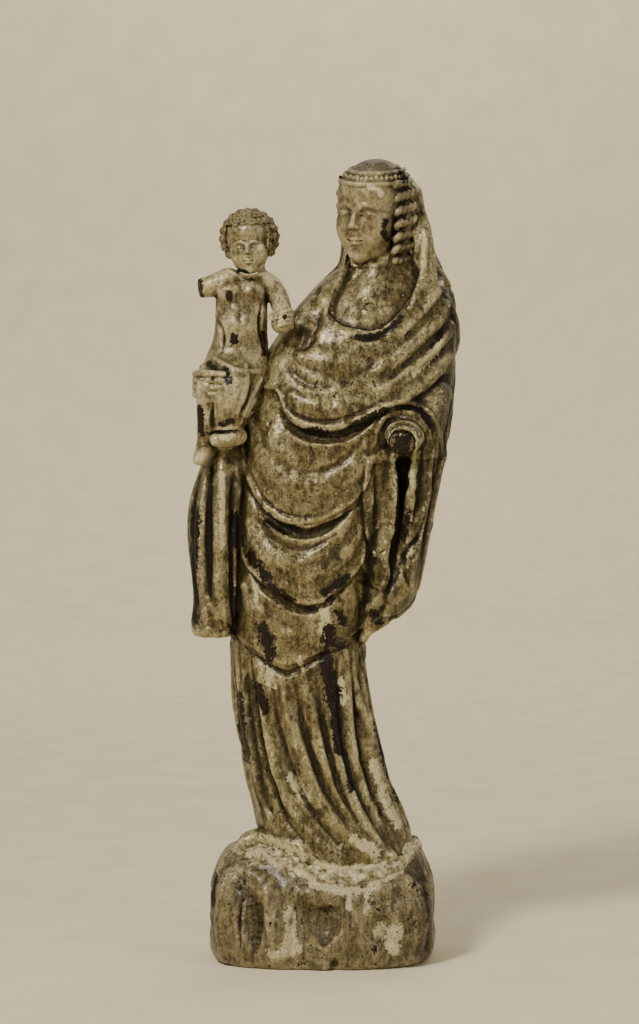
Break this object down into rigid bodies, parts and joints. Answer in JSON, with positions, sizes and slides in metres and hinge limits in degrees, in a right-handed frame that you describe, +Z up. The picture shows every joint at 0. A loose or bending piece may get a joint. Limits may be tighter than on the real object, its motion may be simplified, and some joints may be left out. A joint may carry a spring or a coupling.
{
  "type": "madonna statue",
  "caption": "Standing carved wooden mother and child on a rock-shaped plinth, draped in a mantle, for standing on a shelf or altar.",
  "frame": {"origin": "middle of the plinth's underside", "axes": "+Z up from the plinth to the mother's head, the figures face -Y, +X is to the right of someone facing them"},
  "size_m": [0.2005, 0.1155, 0.6],
  "materials": {
    "figure_wood": "worn gilding and paint over gesso on dark wood",
    "child_wood": "worn flesh paint over gesso on dark wood",
    "plinth_wood": "dark wood with remains of paint and gesso",
    "board_wood": "bare, aged, dry",
    "bare_wood": "bare, aged, rubbed",
    "dowel_wood": "bare, aged",
    "gesso": "matt, cracked, dirty",
    "iron": "rusted",
    "gilt_copper": "dull, worn gilding"
  },
  "bodies": {
    "root": {"plinth": "plinth_wood", "foot_dowels": "dowel_wood", "foot_filler": "gesso", "virgin_figure": "figure_wood", "back_board": "board_wood", "back_pegs": "dowel_wood", "head_plug": "dowel_wood", "crown_pins": "iron", "brooch_setting": "gilt_copper", "hand_tenon": "bare_wood", "hand_dowel": "dowel_wood", "mother_right_hand": "figure_wood", "wrist_dowel": "dowel_wood", "child_figure": "child_wood", "child_dowels": "dowel_wood", "child_left_forearm": "child_wood", "forearm_dowel": "dowel_wood", "child_arm_dowel": "dowel_wood"}
  },
  "joints": []
}
